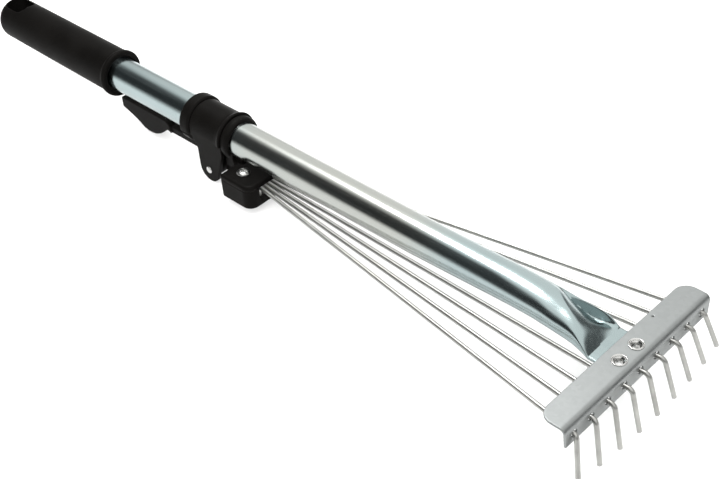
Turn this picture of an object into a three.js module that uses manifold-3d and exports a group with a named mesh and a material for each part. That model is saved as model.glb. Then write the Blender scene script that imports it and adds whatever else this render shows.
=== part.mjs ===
// Adjustable hand leaf rake: a steel tube with a moulded grip, a riveted comb plate, and a clamp slider that
// carries nine spring-wire tines through the comb. Millimetres, +Z up.
//
// The parts are drawn about the tube's own axis: X runs along it, with X = 0 at the front face of the comb and
// the grip at negative X, and Z = 0 on the axis. The group is then moved so that the origin is the middle of
// the footprint, at the level that the tine tips rest on.
import * as THREE from 'three';
import { mergeVertices } from 'three/addons/utils/BufferGeometryUtils.js';
import Module from 'manifold-3d';

const wasm = await Module();
wasm.setup();

// ---- clearances ----
const FIT = 0.3; // between round or sliding fits
const SEAT = 0.1; // between flat faces that rest on each other

// ---- handle tube ----
const TUBE_OD = 25;
const TUBE_WALL = 1.2;
const TUBE_SETBACK = 4.2; // from the comb's front face to the tube's flattened end
const FLAT_WIDTH = 31.5;
const TUBE_SIDES = 32;

// ---- grip ----
const GRIP_LENGTH = 141;
const GRIP_END_DIA = TUBE_OD + 7.2;
const GRIP_FRONT_DIA = TUBE_OD + 8.1;
const COLLAR_DIA = TUBE_OD + 10.6;
const COLLAR_LENGTH = 4;
const GRIP_FRONT_X = -457.3;
const GRIP_NOSE_RADIUS = 10;
const HANG_HOLE_LENGTH = 21;
const HANG_HOLE_WIDTH = 16.5;
const HANG_HOLE_RADIUS = 6;
const HANG_HOLE_EDGE = 6; // material left behind the hole
const HANG_HOLE_WEB = 5; // material between the hole and the tube's end

// ---- comb plate ----
const PLATE_WIDTH = 137.3;
const PLATE_DEPTH = 19;
const PLATE_SHEET = 1.5;
const PLATE_TOP_Z = -2.35;
const FLANGE_HEIGHT = 14.1;
const FLANGE_TAPER = 1.2; // each end of the flange leans in by this much
const PLATE_CORNER = 9;
const BEND_RADIUS = 4; // outside of the bend
const PILOT_DIA = 1.2; // small hole that held the blank while it was punched
const PILOT_X = -15.3;
const PILOT_Y = 32.9;

// ---- eyelets ----
const EYELET_HEAD_DIA = 9.6;
const EYELET_HEAD = 0.8;
const EYELET_DIA = 7;
const EYELET_BORE = 4.4;
const EYELET_SPACING = 16.2;
const EYELET_SETBACK = 9.3;

// ---- tines ----
const TINES = 9;
const WIRE_DIA = 3;
const WIRE_SIDES = 12;
const COMB_PITCH = 15.1;
const ROOT_PITCH = WIRE_DIA + 0.33;
const SWING_ROOM = 1.6; // beside the outermost wires in the tine block, for their swing
const HOLE_DIA = 5.2;
const HOLE_DROP = 7.9; // hole centre below the plate's top face
const WIRE_LOW = 0.3; // a wire lies this far below its hole's centre
const BEND_CLEAR = -1.2; // straight wire in front of the comb on the outermost tines
const TIP_BEND_DEG = 75;
const TIP_BEND_RADIUS = 3.7;
const TIP_LENGTH = 24.9;
const TIP_TOE_DEG = 11; // outward lean of the outermost tips
const HOOK_RADIUS = 3;
const HOOK_LENGTH = 4.5;
const BEND_STEPS = 7;

// ---- slider: sleeve ----
const SLEEVE_REAR_X = -373;
const SLEEVE_FRONT_X = -324.7;
const SLEEVE_WALL = 1; // at the groove
const GROOVE_DIA = TUBE_OD + 2 * (FIT + SLEEVE_WALL);
const RIM_DIA = GROOVE_DIA + 6.4;
const RIM_WIDTH = 9.4;
const RIM_BEVEL = 1.3;
const NOSE_DIA = GROOVE_DIA + 3.9;
const NOSE_WIDTH = 6.6;
const NOSE_CHAMFER = 3;
const SLIT_Z = -4.5;
const SLIT_WIDTH = 1;
const SLIT_LENGTH = 33;

// ---- slider: tine block ----
const BLOCK_REAR_X = -323.2;
const BLOCK_FRONT_X = -293.9;
const BLOCK_WIDTH = 52.4;
const BLOCK_TOP_Z = -(TUBE_OD / 2 + FIT + 0.4);
const BLOCK_BOTTOM_Z = BLOCK_TOP_Z - 18.6;
const BLOCK_CORNER = 7.3; // at the front
const BLOCK_HEEL = 2; // at the rear
const BLOCK_BEVEL = 1;
const ROOT_X = -298.5;
const ROOT_Z = BLOCK_TOP_Z - 5.6;
const NECK_WIDTH = 18;
const SADDLE_WIDTH = 25; // of the web between the sleeve's nose and the tine block
const NECK_REAR_X = -337;
const NECK_BOTTOM_Z = -26;
const SCREW_X = -311;
const SCREW_Y = 14.5;
const SCREW_DIA = 4;
const SCREW_HEAD_DIA = 9.6;
const SCREW_HEAD = 2.2;
const SCREW_LENGTH = 13;

// ---- slider: clamp band, cam lever and pin ----
const BAND_SHEET = 1.4;
const BEAD_DIA = GROOVE_DIA + 6.8;
const BEAD_WIDTH = 6.5;
const EAR_THICKNESS = 3.1;
const EAR_RADIUS = 9.4;
const EAR_REAR_X = -356.6;
const PIN_X = -348;
const PIN_Z = -GROOVE_DIA / 2 - 13.7;
const PIN_DIA = 4;
const PIN_HEAD_DIA = 5.4;
const PIN_HEAD = 0.8;
const CAM_THROW = 4;
const LEVER_WIDTH = 13;
const LEVER_TOP_Z = -RIM_DIA / 2 - 0.6;
const LEVER_THICKNESS = 5.5;
const PADDLE_WIDTH = 16;
const PADDLE_REAR_X = -453;
const PADDLE_FRONT_X = -398;
const PADDLE_GAP = 1.1; // between the tube and the paddle
// The paddle's underside: distances from its rear end, and how far it hangs below the bar.
const PADDLE_UNDERSIDE = [
  [9.6, 2.4],
  [16.6, 5.3],
  [22.8, 8.6],
  [29, 9.6],
  [36, 8.6],
  [43.5, 4.8],
  [48.5, 0.4],
  [52, -1.4],
  [55, -0.1],
];

// ---- sizes that follow from those above ----
const TUBE_R = TUBE_OD / 2;
const GRIP_REAR_X = GRIP_FRONT_X - GRIP_LENGTH;
const HOLE_FRONT_X = GRIP_REAR_X + HANG_HOLE_EDGE + HANG_HOLE_LENGTH;
const TUBE_REAR_X = HOLE_FRONT_X + HANG_HOLE_WEB;
const FLAT_TOP_Z = PLATE_TOP_Z - PLATE_SHEET - SEAT;
const FLAT_THICKNESS = 2 * TUBE_WALL;
const FLAT_BOTTOM_Z = FLAT_TOP_Z - FLAT_THICKNESS;
const CREASE_X = -25; // the tube is fully flat in front of this
const WIRE_R = WIRE_DIA / 2;
const HOLE_Z = PLATE_TOP_Z - HOLE_DROP;
const HOLE_X = -PLATE_SHEET / 2;
const OUTER_TINE = (TINES - 1) / 2;
const BORE_R = TUBE_R + FIT;
const GROOVE_FRONT_X = SLEEVE_FRONT_X - NOSE_WIDTH;
const GROOVE_REAR_X = SLEEVE_REAR_X + RIM_WIDTH;
const PARTING_Z = ROOT_Z + WIRE_R + FIT + SEAT;
const CHANNEL_Z = ROOT_Z - WIRE_R - FIT;
const BAND_INNER_R = GROOVE_DIA / 2 + FIT;
const BAND_OUTER_R = BAND_INNER_R + BAND_SHEET;
const EAR_INNER_Y = BAND_OUTER_R - EAR_THICKNESS;
const CAM_R = -GROOVE_DIA / 2 - FIT - (PIN_Z + CAM_THROW);

// ---- materials ----
const metal = (color, roughness) => new THREE.MeshStandardMaterial({ color, roughness, metalness: 1 });
const ZINC_TUBE = metal(0xb9c2c6, 0.22);
const GALVANISED = metal(0xb4b8ba, 0.45);
const WIRE = metal(0xa6a5a1, 0.38);
const BRIGHT = metal(0xc9c9c7, 0.25);
const BLACK_PLASTIC = new THREE.MeshStandardMaterial({ color: 0x1d1b1a, roughness: 0.5, metalness: 0 });

// ---- directions that flat outlines and turned profiles are set in ----
const X = new THREE.Vector3(1, 0, 0);
const Y = new THREE.Vector3(0, 1, 0);
const Z = new THREE.Vector3(0, 0, 1);
const ALONG_X = new THREE.Matrix4().makeBasis(Y, Z, X);
const ALONG_Y = new THREE.Matrix4().makeBasis(X, Z, Y.clone().negate());
const TURNED_X = new THREE.Matrix4().makeBasis(Y, X, Z.clone().negate());
const TURNED_Z = new THREE.Matrix4().makeBasis(X, Z, Y.clone().negate());

// ---- solids ----

// A manifold solid from a closed three.js geometry, with its faces turned outwards.
function solid(geometry) {
  const bare = geometry.clone();
  bare.deleteAttribute('normal');
  bare.deleteAttribute('uv');
  const merged = mergeVertices(bare, 1e-4);
  const at = merged.attributes.position.array;
  const index = merged.index.array;
  const corner = (i) => new THREE.Vector3().fromArray(at, 3 * i);
  const triangles = [];
  let volume = 0;
  for (let i = 0; i < index.length; i += 3) {
    const [a, b, c] = index.slice(i, i + 3);
    if (a === b || b === c || c === a) continue;
    triangles.push([a, b, c]);
    volume += corner(a).dot(corner(b).cross(corner(c)));
  }
  if (volume < 0) triangles.forEach((t) => t.reverse());
  const mesh = new wasm.Mesh({
    numProp: 3,
    vertProperties: new Float32Array(at),
    triVerts: new Uint32Array(triangles.flat()),
  });
  return new wasm.Manifold(mesh);
}

function toGeometry(manifold) {
  const mesh = manifold.getMesh();
  const geometry = new THREE.BufferGeometry();
  geometry.setAttribute('position', new THREE.BufferAttribute(mesh.vertProperties, 3));
  geometry.setIndex(new THREE.BufferAttribute(mesh.triVerts, 1));
  geometry.computeVertexNormals();
  return geometry;
}

// An outline in (Y, Z), carried from x0 to x1.
function prismX(shape, x0, x1, curveSegments = 12) {
  const geometry = new THREE.ExtrudeGeometry(shape, { depth: x1 - x0, bevelEnabled: false, curveSegments });
  return solid(geometry.applyMatrix4(ALONG_X).translate(x0, 0, 0));
}

// An outline in (X, Z), as wide as halfWidth on both sides of the middle.
function prismY(shape, halfWidth, curveSegments = 12) {
  const geometry = new THREE.ExtrudeGeometry(shape, { depth: 2 * halfWidth, bevelEnabled: false, curveSegments });
  return solid(geometry.applyMatrix4(ALONG_Y).translate(0, halfWidth, 0));
}

// An outline in (X, Y), carried from z0 to z1, with its end edges bevelled by bevel.
function prismZ(shape, z0, z1, bevel = 0, curveSegments = 12) {
  const geometry = new THREE.ExtrudeGeometry(shape, {
    depth: z1 - z0 - 2 * bevel,
    bevelEnabled: bevel > 0,
    bevelSize: bevel,
    bevelThickness: bevel,
    bevelOffset: -bevel,
    bevelSegments: 2,
    curveSegments,
  });
  return solid(geometry.translate(0, 0, z0 + bevel));
}

// A closed profile of [place along the axis, radius] pairs, turned about the axis that `direction` sets.
function turned(profile, direction, sides) {
  const points = profile.map(([along, radius]) => new THREE.Vector2(radius, along));
  points.push(points[0].clone());
  return solid(new THREE.LatheGeometry(points, sides).applyMatrix4(direction));
}

function box(x0, x1, y0, y1, z0, z1) {
  const geometry = new THREE.BoxGeometry(x1 - x0, y1 - y0, z1 - z0);
  return solid(geometry.translate((x0 + x1) / 2, (y0 + y1) / 2, (z0 + z1) / 2));
}

function rodX(radius, x0, x1, y, z, sides = 32) {
  const rod = turned([[x0, 0], [x0, radius], [x1, radius], [x1, 0]], TURNED_X, sides);
  return rod.translate([0, y, z]);
}

function rodY(radius, halfLength, x, z, sides = 32) {
  const geometry = new THREE.CylinderGeometry(radius, radius, 2 * halfLength, sides);
  return solid(geometry.translate(x, 0, z));
}

function rodZ(radius, z0, z1, x, y, sides = 24) {
  const rod = turned([[z0, 0], [z0, radius], [z1, radius], [z1, 0]], TURNED_Z, sides);
  return rod.translate([x, y, 0]);
}

// A rectangle with rounded corners, centred on (x, y).
function roundedRectangle(x, y, length, width, radius) {
  const [a, b] = [length / 2 - radius, width / 2 - radius];
  const shape = new THREE.Shape();
  shape.absarc(x + a, y + b, radius, 0, Math.PI / 2);
  shape.absarc(x - a, y + b, radius, Math.PI / 2, Math.PI);
  shape.absarc(x - a, y - b, radius, Math.PI, 1.5 * Math.PI);
  shape.absarc(x + a, y - b, radius, 1.5 * Math.PI, 2 * Math.PI);
  return shape;
}

function outline(points) {
  return new THREE.Shape(points.map(([u, v]) => new THREE.Vector2(u, v)));
}

// A solid skinned over rings of points, each ring with as many points as the next.
function loft(rings) {
  const count = rings[0].length;
  const positions = rings.flat().flat();
  const index = [];
  for (let r = 0; r < rings.length - 1; r += 1) {
    for (let i = 0; i < count; i += 1) {
      const [a, b] = [r * count + i, r * count + ((i + 1) % count)];
      index.push(a, b, b + count, a, b + count, a + count);
    }
  }
  for (let i = 1; i < count - 1; i += 1) {
    index.push(0, i + 1, i);
    const last = (rings.length - 1) * count;
    index.push(last, last + i, last + i + 1);
  }
  const geometry = new THREE.BufferGeometry();
  geometry.setAttribute('position', new THREE.Float32BufferAttribute(positions, 3));
  geometry.setIndex(index);
  return solid(geometry);
}

// ---- handle tube ----

// How the tube is pressed flat. Each row is a cross-section: its place, half its width, its top and bottom,
// the roundness of its corners (1 is round), and how deep the middle of its top is pressed in.
const SECTIONS = [
  [-165, TUBE_R, TUBE_R, -TUBE_R, 1, 0],
  [-132, TUBE_R, 12.6, -11.2, 1, 0],
  [-108, 12.6, 12.8, -10, 1, 0],
  [-90, 12.8, 13, -9, 1, 0.2],
  [-70, 12.8, 12.2, -8.3, 0.95, 2.5],
  [-61, 13, 11.4, -8.1, 0.85, 5.6],
  [-52, 13.4, 10.2, -7.8, 0.8, 9],
  [-40, 13.9, 8.4, -7.1, 0.6, 11],
  [-32, 14.9, 3.6, -6.6, 0.5, 6.8],
  [CREASE_X, FLAT_WIDTH / 2, FLAT_TOP_Z, FLAT_BOTTOM_Z, 0.4, 0],
];

const ROUND = SECTIONS[0].slice(1);
const FLAT = SECTIONS.at(-1).slice(1);

// One row of the table as a ring of points, shrunk by inset all round.
function tubeRing([x, rowWidth, rowTop, rowBottom, squareness, dip], inset) {
  const [halfWidth, top, bottom] = [rowWidth - inset, rowTop - inset, rowBottom + inset];
  const ring = [];
  for (let i = 0; i < TUBE_SIDES; i += 1) {
    const angle = (2 * Math.PI * i) / TUBE_SIDES;
    const up = Math.sin(angle);
    const height = Math.sign(up) * Math.abs(up) ** squareness;
    const y = halfWidth * Math.cos(angle);
    const pressed = up > 0 ? dip * up * up : 0;
    ring.push([x, y, (top + bottom) / 2 + (height * (top - bottom)) / 2 - pressed]);
  }
  return ring;
}

function handleTube() {
  const outside = [[TUBE_REAR_X, ...ROUND], ...SECTIONS, [-TUBE_SETBACK, ...FLAT]];
  const lastOpen = SECTIONS.at(-2);
  const closed = [lastOpen[0] + 2, lastOpen[1] - 2, lastOpen[3] + 2 * TUBE_WALL + 0.6, lastOpen[3], 1, 0];
  const inside = [[TUBE_REAR_X - 1, ...ROUND], ...SECTIONS.slice(0, -1), closed];
  const hollow = loft(inside.map((row) => tubeRing(row, TUBE_WALL)));
  let tube = loft(outside.map((row) => tubeRing(row, 0))).subtract(hollow);
  for (const y of eyeletPlaces()) {
    tube = tube.subtract(rodZ(EYELET_DIA / 2 + FIT, FLAT_BOTTOM_Z - 1, FLAT_TOP_Z + 1, -EYELET_SETBACK, y));
  }
  return tube;
}

// ---- grip ----

function grip() {
  const nose = [];
  for (let i = 0; i <= 6; i += 1) {
    const angle = (Math.PI / 2) * (i / 6);
    const along = GRIP_REAR_X + GRIP_NOSE_RADIUS * (1 - Math.cos(angle));
    nose.push([along, GRIP_END_DIA / 2 - GRIP_NOSE_RADIUS * (1 - Math.sin(angle))]);
  }
  const collarRear = GRIP_FRONT_X - COLLAR_LENGTH;
  const profile = [
    [GRIP_REAR_X, 0],
    ...nose,
    [collarRear - 1, GRIP_FRONT_DIA / 2],
    [collarRear, COLLAR_DIA / 2 - 0.5],
    [collarRear + 0.6, COLLAR_DIA / 2],
    [GRIP_FRONT_X - 1.2, COLLAR_DIA / 2],
    [GRIP_FRONT_X, COLLAR_DIA / 2 - 1.2],
    [GRIP_FRONT_X, 0],
  ];
  const body = turned(profile, TURNED_X, 40);
  const bore = rodX(BORE_R, TUBE_REAR_X - FIT, GRIP_FRONT_X + 1, 0, 0, 40);
  const holeX = HOLE_FRONT_X - HANG_HOLE_LENGTH / 2;
  const hole = roundedRectangle(holeX, 0, HANG_HOLE_LENGTH, HANG_HOLE_WIDTH, HANG_HOLE_RADIUS);
  return body.subtract(bore).subtract(prismZ(hole, -GRIP_END_DIA, GRIP_END_DIA, 0, 5));
}

// ---- comb plate and eyelets ----

function combPlate() {
  const [top, under] = [PLATE_TOP_Z, PLATE_TOP_Z - PLATE_SHEET];
  const bottom = PLATE_TOP_Z - FLANGE_HEIGHT;
  const inside = BEND_RADIUS - PLATE_SHEET;
  const section = new THREE.Shape();
  section.moveTo(-PLATE_DEPTH, top);
  section.lineTo(-PLATE_DEPTH, under);
  section.lineTo(-PLATE_SHEET - inside, under);
  section.absarc(-PLATE_SHEET - inside, under - inside, inside, Math.PI / 2, 0, true);
  section.lineTo(-PLATE_SHEET, bottom);
  section.lineTo(0, bottom);
  section.lineTo(0, top - BEND_RADIUS);
  section.absarc(-BEND_RADIUS, top - BEND_RADIUS, BEND_RADIUS, 0, Math.PI / 2);
  const angle = prismY(section, PLATE_WIDTH / 2, 5);
  const plan = roundedRectangle(0, 0, 2 * PLATE_DEPTH, PLATE_WIDTH, PLATE_CORNER);
  const trimmed = angle.intersect(prismZ(plan, bottom - 1, top + 1, 0, 6));
  const half = PLATE_WIDTH / 2;
  const face = outline([
    [-half - 1, top + 1],
    [-half, top - BEND_RADIUS],
    [-half + FLANGE_TAPER, bottom - 1],
    [half - FLANGE_TAPER, bottom - 1],
    [half, top - BEND_RADIUS],
    [half + 1, top + 1],
  ]);
  let plate = trimmed.intersect(prismX(face, -PLATE_DEPTH - 1, 1));
  for (const place of tinePlaces()) {
    plate = plate.subtract(rodX(HOLE_DIA / 2, -PLATE_SHEET - 1, 1, place.comb, HOLE_Z, 20));
  }
  for (const y of eyeletPlaces()) {
    plate = plate.subtract(rodZ(EYELET_DIA / 2 + FIT, under - 1, top + 1, -EYELET_SETBACK, y));
  }
  return plate.subtract(rodZ(PILOT_DIA / 2, under - 1, top + 1, PILOT_X, PILOT_Y, 12));
}

function eyeletPlaces() {
  return [-EYELET_SPACING / 2, EYELET_SPACING / 2];
}

function eyelet(y) {
  const top = PLATE_TOP_Z + SEAT;
  const bottom = FLAT_BOTTOM_Z - SEAT;
  const [bore, shank, head] = [EYELET_BORE / 2, EYELET_DIA / 2, EYELET_HEAD_DIA / 2];
  const profile = [
    [bottom - EYELET_HEAD, bore + 0.6],
    [bottom - EYELET_HEAD, head - 0.4],
    [bottom, head],
    [bottom, shank],
    [top, shank],
    [top, head],
    [top + EYELET_HEAD * 0.6, head - 0.3],
    [top + EYELET_HEAD, head - 1],
    [top + EYELET_HEAD, bore + 0.6],
    [top, bore],
    [bottom, bore],
  ];
  return turned(profile, TURNED_Z, 24).translate([-EYELET_SETBACK, y, 0]);
}

// ---- tines ----

// Each tine's number from the middle, its place across the comb and across the block.
function tinePlaces() {
  const places = [];
  for (let i = 0; i < TINES; i += 1) {
    const step = i - OUTER_TINE;
    places.push({ number: i + 1, step, comb: step * COMB_PITCH, root: step * ROOT_PITCH });
  }
  return places;
}

// A path whose points are exactly the ones given, so that straight runs need only their two ends.
class StationPath extends THREE.Curve {
  constructor(points) {
    super();
    this.points = points;
  }

  getUtoTmapping(u) {
    return u;
  }

  getPoint(t, target = new THREE.Vector3()) {
    const place = t * (this.points.length - 1);
    const i = Math.min(Math.floor(place + 1e-6), this.points.length - 2);
    return target.lerpVectors(this.points[i], this.points[i + 1], place - i);
  }

  getTangent(t, target = new THREE.Vector3()) {
    const i = Math.round(t * (this.points.length - 1));
    const ahead = this.points[Math.min(i + 1, this.points.length - 1)].clone();
    const here = this.points[i];
    const behind = this.points[Math.max(i - 1, 0)].clone();
    ahead.sub(here).normalize();
    behind.sub(here).normalize();
    return target.subVectors(ahead, behind).normalize();
  }
}

// The arc that turns from direction `from` towards direction `to`, with its start at `start`.
function bend(start, from, to, degrees, radius) {
  const points = [];
  for (let i = 1; i <= BEND_STEPS; i += 1) {
    const angle = THREE.MathUtils.degToRad((degrees * i) / BEND_STEPS);
    const along = from.clone().multiplyScalar(radius * Math.sin(angle));
    const across = to.clone().multiplyScalar(radius * (1 - Math.cos(angle)));
    points.push(start.clone().add(along).add(across));
  }
  return points;
}

function straightLength() {
  const outward = OUTER_TINE * (COMB_PITCH - ROOT_PITCH);
  return Math.hypot(HOLE_X - ROOT_X, outward, HOLE_Z - WIRE_LOW - ROOT_Z) + BEND_CLEAR - HOLE_X;
}

function tine(place) {
  const root = new THREE.Vector3(ROOT_X, place.root, ROOT_Z);
  const hole = new THREE.Vector3(HOLE_X, place.comb, HOLE_Z - WIRE_LOW);
  const forward = hole.clone().sub(root).normalize();
  const down = Z.clone().negate().addScaledVector(forward, forward.z).normalize();
  const toe = THREE.MathUtils.degToRad((TIP_TOE_DEG * place.step) / OUTER_TINE);
  const tipDown = down.clone().applyAxisAngle(forward, toe);
  const bendStart = root.clone().addScaledVector(forward, straightLength());
  const front = bend(bendStart, forward, tipDown, TIP_BEND_DEG, TIP_BEND_RADIUS);
  const leave = THREE.MathUtils.degToRad(TIP_BEND_DEG);
  const tipAlong = forward.clone().multiplyScalar(Math.cos(leave)).addScaledVector(tipDown, Math.sin(leave));
  const tip = front.at(-1).clone().addScaledVector(tipAlong, TIP_LENGTH);
  const hookStart = root.clone().addScaledVector(forward, HOOK_RADIUS);
  const hook = bend(hookStart, forward.clone().negate(), down, 90, HOOK_RADIUS);
  const hookEnd = hook.at(-1).clone().addScaledVector(down, HOOK_LENGTH);
  const path = new StationPath([hookEnd, ...hook.reverse(), hookStart, bendStart, ...front, tip]);
  const circle = new THREE.Shape();
  circle.absarc(0, 0, WIRE_R, 0, 2 * Math.PI);
  const geometry = new THREE.ExtrudeGeometry(circle, {
    steps: path.points.length - 1,
    curveSegments: WIRE_SIDES,
    extrudePath: path,
  });
  return solid(geometry);
}

// ---- slider ----

function sleeve() {
  const [groove, rim, nose] = [GROOVE_DIA / 2, RIM_DIA / 2, NOSE_DIA / 2];
  const profile = [
    [SLEEVE_REAR_X, BORE_R],
    [SLEEVE_REAR_X, rim - 0.6],
    [SLEEVE_REAR_X + 0.6, rim],
    [GROOVE_REAR_X - RIM_BEVEL, rim],
    [GROOVE_REAR_X, rim - RIM_BEVEL],
    [GROOVE_REAR_X, groove],
    [GROOVE_FRONT_X, groove],
    [GROOVE_FRONT_X, nose],
    [SLEEVE_FRONT_X - NOSE_CHAMFER, nose],
    [SLEEVE_FRONT_X, nose - NOSE_CHAMFER * 0.7],
    [SLEEVE_FRONT_X, BORE_R],
  ];
  const slitFront = SLEEVE_REAR_X + SLIT_LENGTH;
  const slit = box(SLEEVE_REAR_X - 1, slitFront, -RIM_DIA, RIM_DIA, SLIT_Z - SLIT_WIDTH / 2, SLIT_Z + SLIT_WIDTH / 2);
  return turned(profile, TURNED_X, 40).subtract(slit);
}

function blockPlan() {
  const half = BLOCK_WIDTH / 2;
  const [front, rear] = [BLOCK_FRONT_X - BLOCK_CORNER, BLOCK_REAR_X + BLOCK_HEEL];
  const plan = new THREE.Shape();
  plan.absarc(front, half - BLOCK_CORNER, BLOCK_CORNER, 0, Math.PI / 2);
  plan.absarc(rear, half - BLOCK_HEEL, BLOCK_HEEL, Math.PI / 2, Math.PI);
  plan.absarc(rear, BLOCK_HEEL - half, BLOCK_HEEL, Math.PI, 1.5 * Math.PI);
  plan.absarc(front, BLOCK_CORNER - half, BLOCK_CORNER, 1.5 * Math.PI, 2 * Math.PI);
  return plan;
}

function screwHoles(z0, z1) {
  const radius = SCREW_DIA / 2 + FIT;
  return rodZ(radius, z0, z1, SCREW_X, SCREW_Y, 16).add(rodZ(radius, z0, z1, SCREW_X, -SCREW_Y, 16));
}

// The sleeve, the neck under it and the upper half of the tine block are one moulding.
function sliderBody() {
  const top = prismZ(blockPlan(), PARTING_Z, BLOCK_TOP_Z, BLOCK_BEVEL * 0.8, 6);
  const neckFront = BLOCK_REAR_X + 5;
  const neck = box(NECK_REAR_X, neckFront, -NECK_WIDTH / 2, NECK_WIDTH / 2, PARTING_Z, -GROOVE_DIA / 4);
  const heel = box(NECK_REAR_X, BLOCK_REAR_X - FIT, -NECK_WIDTH / 2, NECK_WIDTH / 2, NECK_BOTTOM_Z, PARTING_Z + 1);
  const saddle = box(GROOVE_FRONT_X, neckFront, -SADDLE_WIDTH / 2, SADDLE_WIDTH / 2, PARTING_Z, -GROOVE_DIA / 3);
  const bore = rodX(BORE_R, SLEEVE_REAR_X - 1, BLOCK_FRONT_X + 1, 0, 0, 40);
  const holes = screwHoles(BLOCK_BOTTOM_Z, BLOCK_TOP_Z + 1);
  return sleeve().add(top).add(neck).add(heel).add(saddle).subtract(bore).subtract(holes);
}

function tineBlockBase() {
  const body = prismZ(blockPlan(), BLOCK_BOTTOM_Z, PARTING_Z - SEAT, BLOCK_BEVEL, 6);
  const half = OUTER_TINE * ROOT_PITCH + WIRE_R + SWING_ROOM;
  const hookRoom = WIRE_R + 2 * FIT;
  const floor = ROOT_Z - HOOK_RADIUS - HOOK_LENGTH - 2 * FIT;
  const channel = box(ROOT_X - hookRoom, BLOCK_FRONT_X + 1, -half, half, CHANNEL_Z, PARTING_Z + 1);
  const trench = box(ROOT_X - hookRoom, ROOT_X + hookRoom + HOOK_RADIUS, -half, half, floor, PARTING_Z + 1);
  return body.subtract(channel).subtract(trench).subtract(screwHoles(BLOCK_BOTTOM_Z + 2, PARTING_Z + 1));
}

function blockScrew(y) {
  const seat = BLOCK_TOP_Z + SEAT;
  const profile = [
    [seat - SCREW_LENGTH, 0],
    [seat - SCREW_LENGTH + 1.5, SCREW_DIA / 2],
    [seat, SCREW_DIA / 2],
    [seat, SCREW_HEAD_DIA / 2],
    [seat + SCREW_HEAD * 0.45, SCREW_HEAD_DIA / 2],
    [seat + SCREW_HEAD * 0.85, SCREW_HEAD_DIA / 2 - 1.1],
    [seat + SCREW_HEAD, SCREW_HEAD_DIA / 2 - 2.4],
    [seat + SCREW_HEAD, 0],
  ];
  const screw = turned(profile, TURNED_Z, 24);
  const slotBottom = seat + SCREW_HEAD - 1.1;
  const slotTop = seat + SCREW_HEAD + 1;
  const cross = box(-2.1, 2.1, -0.45, 0.45, slotBottom, slotTop).add(box(-0.45, 0.45, -2.1, 2.1, slotBottom, slotTop));
  return screw.subtract(cross).translate([SCREW_X, y, 0]);
}

// The strap over the sleeve's groove, with an ear on each side that reaches down to the pin.
function clampBand() {
  const [rear, front] = [GROOVE_REAR_X + FIT, GROOVE_FRONT_X - FIT];
  const bottom = PIN_Z - EAR_RADIUS - 1;
  const lower = -Math.sqrt(BAND_INNER_R ** 2 - EAR_INNER_Y ** 2);
  const start = Math.atan2(lower, EAR_INNER_Y);
  const section = new THREE.Shape();
  section.moveTo(BAND_OUTER_R, bottom);
  section.lineTo(BAND_OUTER_R, 0);
  section.absarc(0, 0, BAND_OUTER_R, 0, Math.PI);
  section.lineTo(-BAND_OUTER_R, bottom);
  section.lineTo(-EAR_INNER_Y, bottom);
  section.lineTo(-EAR_INNER_Y, lower);
  section.absarc(0, 0, BAND_INNER_R, Math.PI - start, start, true);
  section.lineTo(EAR_INNER_Y, bottom);
  const strap = prismX(section, rear, front, 20);
  const side = new THREE.Shape();
  side.moveTo(rear, BEAD_DIA);
  side.lineTo(rear, SLIT_Z + 1);
  side.lineTo(EAR_REAR_X - 1, SLIT_Z - 5);
  side.lineTo(PIN_X - EAR_RADIUS, PIN_Z);
  side.absarc(PIN_X, PIN_Z, EAR_RADIUS, Math.PI, 2 * Math.PI - 0.6);
  side.lineTo(front - 1, SLIT_Z - 7);
  side.lineTo(front, SLIT_Z - 4);
  side.lineTo(front, BEAD_DIA);
  const beadRear = front - BEAD_WIDTH;
  const bead = turned(
    [
      [beadRear, BAND_INNER_R + 0.2],
      [beadRear, BAND_OUTER_R],
      [beadRear + BEAD_WIDTH * 0.4, BAND_OUTER_R + 0.25],
      [beadRear + BEAD_WIDTH * 0.7, BEAD_DIA / 2],
      [front - 0.7, BEAD_DIA / 2],
      [front, BEAD_DIA / 2 - 0.5],
      [front, BAND_INNER_R + 0.2],
    ],
    TURNED_X,
    40,
  );
  const upper = box(beadRear - 1, front + 1, -BEAD_DIA, BEAD_DIA, -1, BEAD_DIA);
  const hole = rodY(PIN_DIA / 2 + FIT, BEAD_DIA, PIN_X, PIN_Z, 20);
  return strap.intersect(prismY(side, BEAD_DIA, 10)).add(bead.intersect(upper)).subtract(hole);
}

function leverPin() {
  const seat = BAND_OUTER_R + SEAT;
  const profile = [
    [-seat - PIN_HEAD, 0],
    [-seat - PIN_HEAD, PIN_HEAD_DIA / 2 - 0.6],
    [-seat, PIN_HEAD_DIA / 2],
    [-seat, PIN_DIA / 2],
    [seat, PIN_DIA / 2],
    [seat, PIN_HEAD_DIA / 2],
    [seat + PIN_HEAD, PIN_HEAD_DIA / 2 - 0.6],
    [seat + PIN_HEAD, 0],
  ];
  return turned(profile, new THREE.Matrix4(), 20).translate([PIN_X, 0, PIN_Z]);
}

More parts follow.
